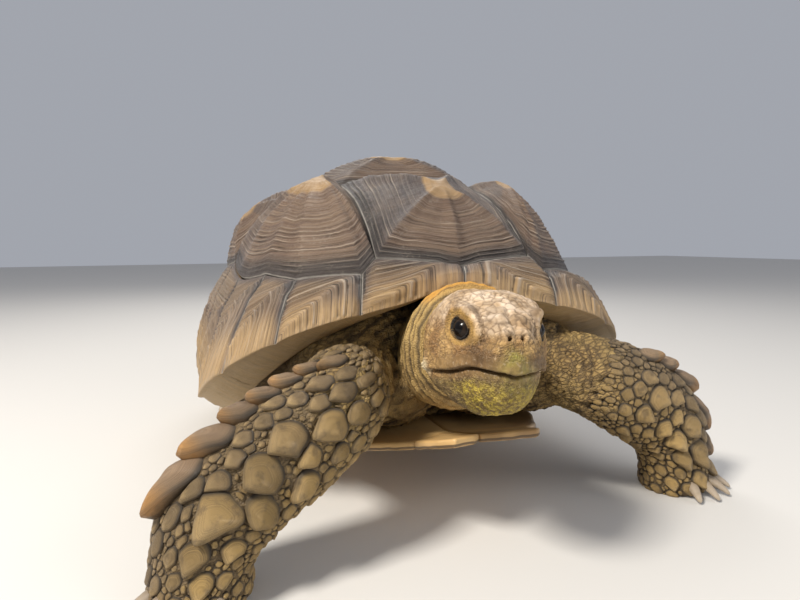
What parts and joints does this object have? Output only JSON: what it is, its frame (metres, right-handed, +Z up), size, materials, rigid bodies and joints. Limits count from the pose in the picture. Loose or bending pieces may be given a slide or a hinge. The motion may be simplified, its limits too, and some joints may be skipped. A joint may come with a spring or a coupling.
{
  "type": "sulcata tortoise",
  "caption": "Life-size sulcata tortoise standing with forelegs spread and head out: domed shell of raised horn plates, flat plastron, scaly legs with claws.",
  "frame": {"origin": "on the floor under the middle of the bounding box", "axes": "+Z up, the head looks along -Y, +X is the animal's left"},
  "size_m": [0.512, 0.6424, 0.3147],
  "materials": {
    "carapace_horn": "ringed horn, tan centres, grey brown borders",
    "plastron_horn": "worn yellowish horn",
    "skin": "folded, finely scaled skin",
    "leg_skin": "large overlapping scales",
    "jaw_skin": "pebbly scales, stained green by food",
    "eye": "glossy"
  },
  "bodies": {
    "root": {"abdominal_left": "plastron_horn", "abdominal_right": "plastron_horn", "anal_left": "plastron_horn", "anal_right": "plastron_horn", "costal_left_1": "carapace_horn", "costal_left_2": "carapace_horn", "costal_left_3": "carapace_horn", "costal_left_4": "carapace_horn", "costal_right_1": "carapace_horn", "costal_right_2": "carapace_horn", "costal_right_3": "carapace_horn", "costal_right_4": "carapace_horn", "eye_left": "eye", "eye_right": "eye", "femoral_left": "plastron_horn", "femoral_right": "plastron_horn", "foreleg_left": "leg_skin", "foreleg_right": "leg_skin", "gular_left": "plastron_horn", "gular_right": "plastron_horn", "head": "skin", "hindleg_left": "leg_skin", "hindleg_right": "leg_skin", "humeral_left": "plastron_horn", "humeral_right": "plastron_horn", "lower_jaw": "jaw_skin", "marginal_left_1": "carapace_horn", "marginal_left_10": "carapace_horn", "marginal_left_11": "carapace_horn", "marginal_left_2": "carapace_horn", "marginal_left_3": "carapace_horn", "marginal_left_4": "carapace_horn", "marginal_left_5": "carapace_horn", "marginal_left_6": "carapace_horn", "marginal_left_7": "carapace_horn", "marginal_left_8": "carapace_horn", "marginal_left_9": "carapace_horn", "marginal_right_1": "carapace_horn", "marginal_right_10": "carapace_horn", "marginal_right_11": "carapace_horn", "marginal_right_2": "carapace_horn", "marginal_right_3": "carapace_horn", "marginal_right_4": "carapace_horn", "marginal_right_5": "carapace_horn", "marginal_right_6": "carapace_horn", "marginal_right_7": "carapace_horn", "marginal_right_8": "carapace_horn", "marginal_right_9": "carapace_horn", "neck": "skin", "pectoral_left": "plastron_horn", "pectoral_right": "plastron_horn", "supracaudal": "carapace_horn", "tail": "skin", "trunk": "skin", "vertebral_1": "carapace_horn", "vertebral_2": "carapace_horn", "vertebral_3": "carapace_horn", "vertebral_4": "carapace_horn", "vertebral_5": "carapace_horn"}
  },
  "joints": []
}
